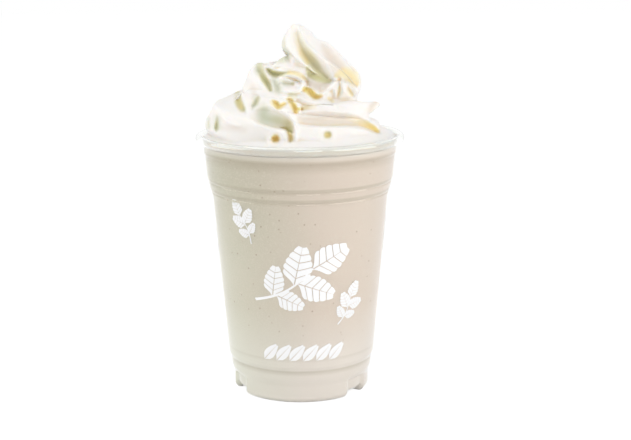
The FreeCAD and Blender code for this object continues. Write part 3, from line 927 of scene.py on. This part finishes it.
            [(-2, 168, 1.2, 0.2), (-0.8, 163, 1.6, 0.3), (1.2, 158.4, 1.8, 0.5), (3.6, 154.6, 1.6, 0.6)],
            [
                (17.6, 148.4, 2.2, 1.8, 0.5), (20.6, 149.4, 3.8, 3.4, 0.6), (24, 148.6, 4.2, 3.8, 0.6),
                (25.6, 145.4, 3.4, 0.6),
            ],
            [(-5, 149.8, 1.2, 1.4, 0.6), (-1, 149.2, 1.6, 0.6), (2, 147.4, 1.4, 1.6, 0.5)],
            [
                (2.2, 142.2, 1.8, 1.6, 1), (5, 140.6, 2.6, 2.2, 1), (7.4, 138.6, 2.2, 1.8, 1),
                (10, 139.2, 1.4, 0.6),
            ],
            [
                (-12.6, 136.4, 1.8, 0.5), (-11, 135, 2.4, 2.2, 1), (-9.6, 133.8, 2.2, 1.6, 1),
                (-7.2, 135.4, 1.6, 1.4, 0.7),
            ],
            [(-29, 138, 1.6, 0.3), (-27.4, 134, 1.8, 0.5)],
            [(-4.8, 137.4, 2, 0.7), (-3, 134.6, 2.2, 2, 1), (-2, 131.8, 1.8, 1.6, 1)],
            [(-1, 132.8, 1.6, 1.4, 0.8), (3, 133.4, 1.6, 1.2, 0.5), (7, 134, 1.2, 0.2)],
            [(13.8, 137.8, 1.4, 0.5), (15.4, 136.4, 1.2, 0.4)],
            [(18.4, 142.6, 1.2, 0.35), (18, 139.4, 1.2, 0.35)],
            [(22.5, 142, 1.2, 0.35), (24, 139.6, 1.4, 0.4)],
            [
                (22, 128.6, 1.6, 0.1), (26, 127.4, 2.4, 1.8, 0.3), (30, 126, 2.2, 1.6, 0.6),
                (34, 123.8, 2, 1.4, 1), (36.2, 122.2, 1.6, 1.4, 0.9),
            ],
            [(-11.6, 119.1, 2.6, 1), (-11.4, 119.1, 2.6, 1)],
            [(12.8, 120.5, 1.8, 0.8), (13.2, 120.5, 1.8, 0.8)],
            [(-7, 124, 1, 0.5), (-5, 121.6, 1.4, 0.6), (-4, 119, 1.6, 0.6)],
        ],
    },
}


def smoothValue(values, place):
    # a smooth curve through evenly spaced values
    last = len(values) - 1
    index = min(int(place), last - 1)
    part = place - index
    before, start = values[max(index - 1, 0)], values[index]
    stop, after = values[index + 1], values[min(index + 2, last)]
    return 0.5 * (
        2 * start + (stop - before) * part
        + (2 * before - 5 * start + 4 * stop - after) * part ** 2
        + (3 * start - before - 3 * stop + after) * part ** 3
    )


def smoothPath(stations, steps):
    # the stations with smooth steps between them
    columns = list(zip(*stations))
    count = steps * (len(stations) - 1)
    return [tuple(smoothValue(column, number / steps) for column in columns) for number in range(count + 1)]


def nozzleOutline(name, ridges, depth):
    # the outline that the nozzle gives: sharp ridges with round flutes between them
    deselectAll()
    bpy.ops.mesh.primitive_circle_add(vertices=max(ridges * 10, 24), radius=1.0)
    outline = nameIt(name)
    for vertex in outline.data.vertices:
        angle = math.atan2(vertex.co.y, vertex.co.x)
        vertex.co *= 1 - depth * abs(math.sin(ridges * angle / 2))
    bpy.ops.object.convert(target="CURVE")
    return outline


def pipe(name, stations, outline, twist=0.0):
    # cream carried along a path: places and thickness in millimetres, and a turn of the outline on the way
    deselectAll()
    bpy.ops.curve.primitive_nurbs_path_add()
    rope = nameIt(name)
    spline = rope.data.splines[0]
    spline.points.add(len(stations) - len(spline.points))
    for number, (point, station) in enumerate(zip(spline.points, stations)):
        point.co = (*(Vector(station[:3]) * mm), 1.0)
        point.radius = station[3] * mm
        point.tilt = math.radians(twist) * number / len(stations)
    spline.order_u = 4
    spline.use_endpoint_u = True
    rope.data.resolution_u = 4
    rope.data.twist_mode = "MINIMUM"
    rope.data.bevel_mode = "OBJECT"
    rope.data.bevel_object = outline
    rope.data.use_fill_caps = True
    bpy.ops.object.convert(target="MESH")
    return rope


def coilPath():
    places = []
    for turn, reach, height, radius in smoothPath(cream["coil"], cream["coilSteps"]):
        around = math.radians(turn)
        places.append((-reach * math.sin(around), -reach * math.cos(around), height, radius))
    return places


def buildBed():
    # the low mound under the rope, from the drink up to a soft dome that meets the wall inside the lip
    wall = cup["corners"][-1][0] - cup["gauge"] / 2
    line = [Vector((wall, drinkHigh[2] / mm - cream["bedSunk"])), Vector((wall, cream["bedEdge"]))]
    rise = cream["bedHeight"] - cream["bedEdge"]
    for step in range(1, cream["bedSteps"]):
        share = 1 - step / cream["bedSteps"]
        line.append(Vector((wall * share, cream["bedHeight"] - rise * share ** cream["bedFullness"])))
    bed = turnRings("creamBed", line, cup["steps"] // 2)
    bpy.ops.mesh.edge_face_add()
    bpy.ops.mesh.select_all(action="SELECT")
    bpy.ops.mesh.normals_make_consistent(inside=False)
    deselectAll()
    return bed


def buildDollop():
    # the last of the cream: ring on ring of overlapping ridges, leaning as it narrows to the peak
    rings = smoothPath(cream["dollop"], cream["dollopRings"])
    x, y, z, radius, turn = rings[0]
    deselectAll()
    bpy.ops.mesh.primitive_circle_add(
        vertices=cream["dollopSteps"], radius=radius * mm, fill_type="TRIFAN", location=(0, 0, z * mm)
    )
    piece = nameIt("creamDollop")
    settle(piece)
    for vertex in piece.data.vertices:
        # azimuth from the front, counted to the right, in ridges
        around = math.atan2(vertex.co.x, -vertex.co.y) - math.radians(turn)
        part = (around / math.tau * cream["dollopRidges"]) % 1
        dip = cream["dollopDepth"] * math.sin(math.pi * part ** cream["dollopLean"])
        vertex.co.x *= 1 - dip
        vertex.co.y *= 1 - dip
    pickOnly(piece)
    bpy.ops.object.mode_set(mode="EDIT")
    bpy.ops.mesh.select_mode(type="EDGE")
    bpy.ops.mesh.select_all(action="SELECT")
    bpy.ops.transform.translate(value=(x * mm, y * mm, 0))
    bpy.ops.mesh.select_all(action="DESELECT")
    bpy.ops.mesh.select_non_manifold()
    for last, ring in zip(rings, rings[1:]):
        move = (Vector(ring[:3]) - Vector(last[:3])) * mm
        middle = Vector(ring[:3]) * mm
        grow = ring[3] / last[3]
        bpy.ops.mesh.extrude_edges_move(TRANSFORM_OT_translate={"value": move})
        bpy.ops.transform.resize(value=(grow, grow, 1), center_override=middle)
        bpy.ops.transform.rotate(
            value=math.radians(ring[4] - last[4]), orient_axis="Z", center_override=middle
        )
    bpy.ops.mesh.edge_face_add()
    bpy.ops.mesh.select_all(action="SELECT")
    bpy.ops.mesh.normals_make_consistent(inside=False)
    deselectAll()
    return piece


def fuse(piece):
    # one closed skin over all that overlaps, without the specks of air shut in between the ropes
    name = piece.name
    pickOnly(piece)
    piece.data.remesh_voxel_size = cream["voxel"] * mm
    bpy.ops.object.voxel_remesh()
    bpy.ops.object.mode_set(mode="EDIT")
    bpy.ops.mesh.select_all(action="SELECT")
    bpy.ops.mesh.separate(type="LOOSE")
    bpy.ops.object.mode_set(mode="OBJECT")
    *specks, skin = sorted(bpy.context.selected_objects, key=lambda part: len(part.data.vertices))
    for speck in specks:
        bpy.data.objects.remove(speck)
    pickOnly(skin)
    return nameIt(name)


def brushPath(stations):
    # a smooth stroke; a station of four numbers reaches as far to either side
    return smoothPath([(*station[:3], *station[-2:]) for station in stations], cream["strokeSteps"])


def strokeShift(right, up, path, steep):
    # how far one stroke moves each place: most along its path, fading out over its reach on either side
    shift = numpy.zeros_like(right)
    for start, stop in zip(path, path[1:]):
        along = numpy.array([stop[0] - start[0], stop[1] - start[1]])
        length = max(float(numpy.hypot(*along)), 1e-6)
        across = (-along[1] * (right - start[0]) + along[0] * (up - start[1])) / length
        part = numpy.clip(((right - start[0]) * along[0] + (up - start[1]) * along[1]) / length ** 2, 0, 1)
        away = numpy.hypot(right - start[0] - part * along[0], up - start[1] - part * along[1])
        mixed = [start[item] + (stop[item] - start[item]) * part for item in (2, 3, 4)]
        reach = numpy.where(across > 0, mixed[0], mixed[1])
        fade = numpy.clip(1 - away / numpy.maximum(reach, 0.2), 0, 1)
        shape = (1 - (1 - fade) ** 3) ** 2 if steep else fade * fade * (3 - 2 * fade)
        here = mixed[2] * shape
        shift = numpy.where(numpy.abs(here) > numpy.abs(shift), here, shift)
    return shift


def underBrush(piece):
    # the skin as the brush sees it, standing in front of the cream
    count = len(piece.data.vertices)
    places = numpy.empty(count * 3)
    normals = numpy.empty(count * 3)
    piece.data.vertices.foreach_get("co", places)
    piece.data.vertices.foreach_get("normal", normals)
    places = places.reshape(-1, 3) / mm
    brush = numpy.array(cream["brush"])
    sight = brush - places
    sight /= numpy.linalg.norm(sight, axis=1)[:, None]
    facing = numpy.clip((normals.reshape(-1, 3) * sight).sum(axis=1) / cream["grazing"], 0, 1)
    stretch = -brush[1] / (places[:, 1] - brush[1])
    right = brush[0] + (places[:, 0] - brush[0]) * stretch
    up = brush[2] + (places[:, 2] - brush[2]) * stretch
    return places, sight, facing, right, up


def brushOn(piece, strokes):
    # moves the skin towards the brush or away from it
    places, sight, facing, right, up = underBrush(piece)
    shift = numpy.zeros_like(right)
    for path, steep in strokes:
        shift += strokeShift(right, up, path, steep)
    places += sight * (shift * facing)[:, None]
    piece.data.vertices.foreach_set("co", (places * mm).ravel())
    piece.data.update()


def paintShadeOn(piece, name, paths):
    # lays painted shade on the skin in the same way, kept for the material: 0 bare, 1 full
    places, sight, facing, right, up = underBrush(piece)
    amount = numpy.zeros_like(right)
    for path in paths:
        amount = numpy.maximum(amount, strokeShift(right, up, brushPath(path), name in cream["steep"]))
    amount *= facing
    piece.data.attributes.new(name + "PaintedShade", "FLOAT", "POINT").data.foreach_set("value", amount)


def fluteBack(piece):
    # the nozzle's flutes, pressed in along the rope round the back and fading out towards the front
    line = []
    for turn, reach, height, radius in smoothPath(cream["coil"], cream["fluteSteps"]):
        around = math.radians(turn)
        share = min(max((cream["fluteFrom"] - math.cos(around)) / cream["fluteBlend"], 0), 1)
        for tilt in cream["flutes"]:
            lean = math.radians(tilt)
            out = reach + radius * math.cos(lean)
            if share > 0:
                place = (-out * math.sin(around), -out * math.cos(around), height + radius * math.sin(lean))
                line.append((Vector(place) * mm, share))
    tree = KDTree(len(line))
    for number, (place, share) in enumerate(line):
        tree.insert(place, number)
    tree.balance()
    moves = []
    for vertex in piece.data.vertices:
        place, number, away = tree.find(vertex.co)
        fade = max(1 - away / (cream["fluteReach"] * mm), 0)
        soft = fade * fade * (3 - 2 * fade)
        moves.append(vertex.normal * (cream["fluteDepth"] * mm * line[number][1] * soft))
    for vertex, move in zip(piece.data.vertices, moves):
        vertex.co -= move
    piece.data.update()


def keepFoldShadeDepth(piece):
    # how deep each place lies below the heap's smoothed skin, kept for painted fold shade: 0 open, 1 deep
    count = len(piece.data.vertices) * 3
    places, softened, normals = numpy.empty(count), numpy.empty(count), numpy.empty(count)
    piece.data.vertices.foreach_get("co", places)
    piece.data.vertices.foreach_get("normal", normals)
    pickOnly(piece)
    bpy.ops.object.duplicate()
    smoothed = bpy.context.object
    depth = numpy.zeros(count // 3)
    for spread, start, full, share in cream["folds"]:
        applyModifier(smoothed, "SMOOTH", factor=1.0, iterations=spread)
        smoothed.data.vertices.foreach_get("co", softened)
        below = ((softened - places) * normals).reshape(-1, 3).sum(axis=1) / mm
        depth += share * numpy.clip((below - start) / (full - start), 0, 1)
    piece.data.attributes.new("foldShadeDepth", "FLOAT", "POINT").data.foreach_set("value", depth)
    bpy.data.objects.remove(smoothed)


def bubbleStrokes():
    # burst bubbles: a small steep crater in a raised ring
    strokes = []
    for right, up, radius, depth, ring, wide, height in cream["bubbles"]:
        crater = [(right + aside, up, radius, radius, -depth) for aside in (-0.1, 0.1)]
        strokes.append((crater, True))
        circle = []
        for step in range(cream["bubbleSteps"] + 1):
            around = math.tau * step / cream["bubbleSteps"]
            x, y = right + ring * math.cos(around), up + ring * math.sin(around)
            circle.append((x, y, wide, wide, height))
        strokes.append((circle, False))
    return strokes


def buildCream():
    coilOutline = nozzleOutline("coilOutline", cream["coilRidges"], cream["coilDepth"])
    roundOutline = nozzleOutline("roundOutline", 1, 0.0)
    heap = [
        buildBed(),
        pipe("creamCoil", coilPath(), coilOutline, cream["coilTwist"]),
        buildDollop(),
        *[
            pipe(name, smoothPath(path, cream["strandSteps"]), roundOutline)
            for name, path in cream["strands"].items()
        ],
    ]
    piece = joinAll("whippedCream", heap)
    piece = fuse(piece)
    applyModifier(piece, "SMOOTH", factor=0.5, iterations=cream["softening"])
    clouds = bpy.data.textures.new("unevenCream", "CLOUDS")
    clouds.noise_scale = cream["unevenSize"] * mm
    applyModifier(piece, "DISPLACE", texture=clouds, strength=cream["unevenness"] * mm, mid_level=0.5)
    fluteBack(piece)
    strokes = [(brushPath(path), name in cream["steep"]) for name, path in cream["strokes"].items()]
    brushOn(piece, strokes + bubbleStrokes())
    applyModifier(piece, "SMOOTH", factor=0.5, iterations=1)
    keepFoldShadeDepth(piece)
    # painted shade laid on the hollows and undersides
    for name, paths in cream["paintedShades"].items():
        paintShadeOn(piece, name, paths)
    for scrap in (coilOutline, roundOutline):
        bpy.data.objects.remove(scrap)
    smoothShade(piece, 180)  # no edge stays sharp
    piece.data.materials.append(creamMaterial)
    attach(piece, "root")
    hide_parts("whipped_cream")
    print("cream:", len(piece.data.polygons), "faces")


buildCream()
print("cream made")


# ---- floor, light and camera
studio = {
    "floorSize": 6.0,
    "worldStrength": 0.4,
    "paper": "#F6F6F6",
    "paperShade": "#AAAAAA",
    "paperGlow": 0.84,
    # place and size in metres, and power in watts
    "lamps": {
        "leftBox": ((-0.9, -0.05, 0.35), 0.9, 4.2),
        "rightBox": ((0.82, -0.42, 0.26), 0.9, 4.8),
        "topBox": ((-0.15, 0.05, 0.9), 0.6, 1.9),
        "keyBox": ((0.15, -0.95, 0.4), 0.5, 2.0),
    },
    "aim": (0.0, 0.0, 0.09),
    "lens": 82.5,
    "cameraPlace": (0.0, -0.6705, 0.2168),
    "lookDown": 11.52,
    "lookRight": 0.604,
    "roll": -0.282,
}


def straightSight(material):
    # 1 for what the eye sees directly, in a gloss or through clear sheet, 0 for light that the object gets
    path = addNode(material, "LightPath")
    glossy = addNode(material, "Math", {
        0: path.outputs["Is Camera Ray"], 1: path.outputs["Is Glossy Ray"],
    }, operation="MAXIMUM")
    through = addNode(material, "Math", {
        0: glossy.outputs["Value"], 1: path.outputs["Is Transmission Ray"],
    }, operation="MAXIMUM")
    unscattered = addNode(material, "Math", {
        0: path.outputs["Diffuse Depth"], 1: 0.5,
    }, operation="LESS_THAN")
    return addNode(material, "Math", {
        0: through.outputs["Value"], 1: unscattered.outputs["Value"],
    }, operation="MULTIPLY").outputs["Value"]


def paperFloor():
    # white studio paper: plain white to the eye and in glass, but for the object's soft shadow
    material = newMaterial("white studio paper")
    paper = addNode(material, "BsdfDiffuse", {"Color": srgb(studio["paper"])})
    shade = addNode(material, "BsdfDiffuse", {"Color": srgb(studio["paperShade"])})
    white = addNode(material, "Emission", {"Strength": studio["paperGlow"]})
    lit = addNode(material, "AddShader", {0: shade.outputs["BSDF"], 1: white.outputs["Emission"]})
    both = addNode(material, "MixShader", {
        "Fac": straightSight(material), 1: paper.outputs["BSDF"], 2: lit.outputs["Shader"],
    })
    addNode(material, "OutputMaterial", {"Surface": both.outputs["Shader"]})
    return material


def buildStudio():
    deselectAll()
    bpy.ops.mesh.primitive_plane_add(size=studio["floorSize"], location=(0, 0, cupLow[2]))
    floor = nameIt("studioFloor")
    settle(floor)
    floor.data.materials.append(paperFloor())

    world = bpy.data.worlds.new("studioWorld")
    scene.world = world
    world.use_nodes = True
    world.node_tree.nodes.clear()
    strength = addNode(world, "MapRange", {
        "Value": straightSight(world), "To Min": studio["worldStrength"], "To Max": 1.0,
    })
    sky = addNode(world, "Background", {"Color": (1, 1, 1, 1), "Strength": strength.outputs["Result"]})
    addNode(world, "OutputWorld", {"Surface": sky.outputs["Background"]})

    for name, (place, size, power) in studio["lamps"].items():
        bpy.ops.object.light_add(type="AREA", location=place)
        lamp = nameIt(name)
        lamp.data.size = size
        lamp.data.energy = power
        aim = Vector(studio["aim"]) - Vector(place)
        lamp.rotation_euler = aim.to_track_quat("-Z", "Y").to_euler()


def setCamera():
    bpy.ops.object.camera_add(location=studio["cameraPlace"])
    camera = nameIt("studioCamera")
    camera.data.lens = studio["lens"]
    turn = Matrix.Rotation(-math.radians(studio["lookRight"]), 3, "Z")
    tip = Matrix.Rotation(math.radians(90 - studio["lookDown"]), 3, "X")
    roll = Matrix.Rotation(math.radians(studio["roll"]), 3, "Z")
    camera.rotation_euler = (turn @ tip @ roll).to_euler()
    scene.camera = camera
    scene.view_settings.view_transform = "Standard"


buildStudio()
setCamera()
print("studio made")
